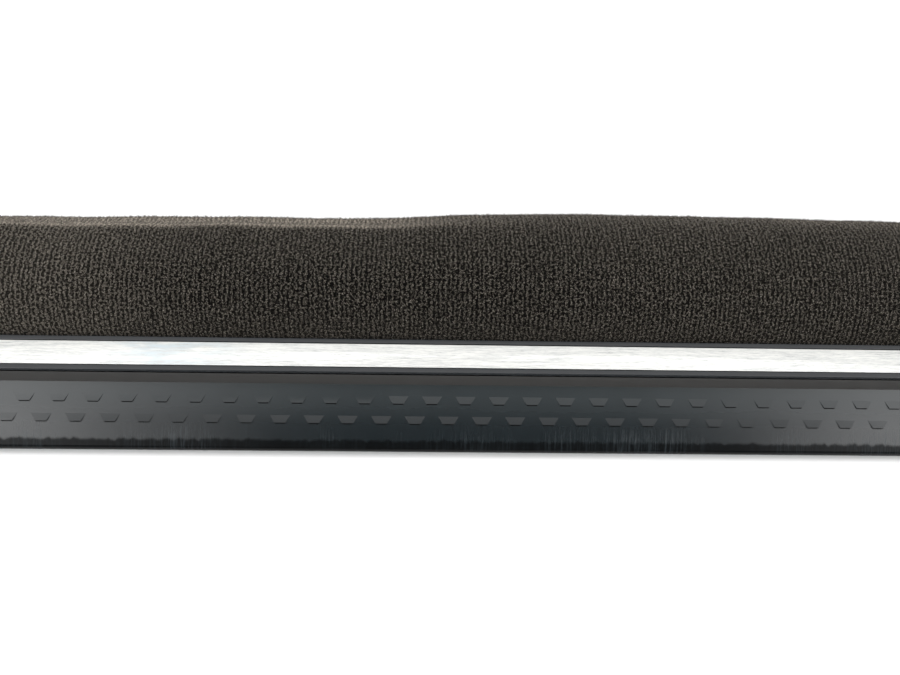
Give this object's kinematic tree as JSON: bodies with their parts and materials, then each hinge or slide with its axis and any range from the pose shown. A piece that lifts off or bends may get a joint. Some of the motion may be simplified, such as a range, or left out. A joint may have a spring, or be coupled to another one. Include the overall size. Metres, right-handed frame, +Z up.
{
  "type": "running board",
  "caption": "Door-width running board trim: black moulded tread with wedge cleats, brushed aluminium insert and a ribbed carpet bolster.",
  "frame": {"origin": "middle of the footprint, on the surface that the board rests on", "axes": "+X along the board, +Y from the tread's front face back to the carpet bolster, +Z up"},
  "size_m": [0.818, 0.1302, 0.0648],
  "materials": {
    "moulded_plastic": "satin black moulded, lightly scuffed",
    "rail_plastic": "satin black extruded",
    "brushed_aluminium": "brushed along its length",
    "zinc_steel": "zinc plated",
    "yellow_zinc": "yellow passivated zinc",
    "carpet_pile": "ribbed cut pile",
    "backing_felt": "needled felt and latex",
    "binding_tape": "woven and overlocked yarn",
    "foam": "closed cell foam",
    "pad_rubber": "matt moulded",
    "tape": "white foam tape"
  },
  "bodies": {
    "root": {"tread_nosing": "moulded_plastic", "insert_rail": "rail_plastic", "metal_strip": "brushed_aluminium", "strip_tape": "tape", "rail_clips": "zinc_steel", "end_cap_left": "moulded_plastic", "end_cap_right": "moulded_plastic", "end_cap_screws": "zinc_steel", "base_plate": "zinc_steel", "base_screws": "zinc_steel", "base_washers": "zinc_steel", "rivet_nuts": "yellow_zinc", "front_seal": "foam", "rest_pads": "pad_rubber", "carpet": "carpet_pile", "carpet_backing": "backing_felt", "carpet_end_left": "carpet_pile", "carpet_end_right": "carpet_pile", "seam_binding_left": "binding_tape", "seam_binding_right": "binding_tape", "rear_hem": "binding_tape", "hem_rivets": "pad_rubber", "foam_core": "foam", "clamp_batten": "zinc_steel", "batten_rivets": "zinc_steel"}
  },
  "joints": []
}
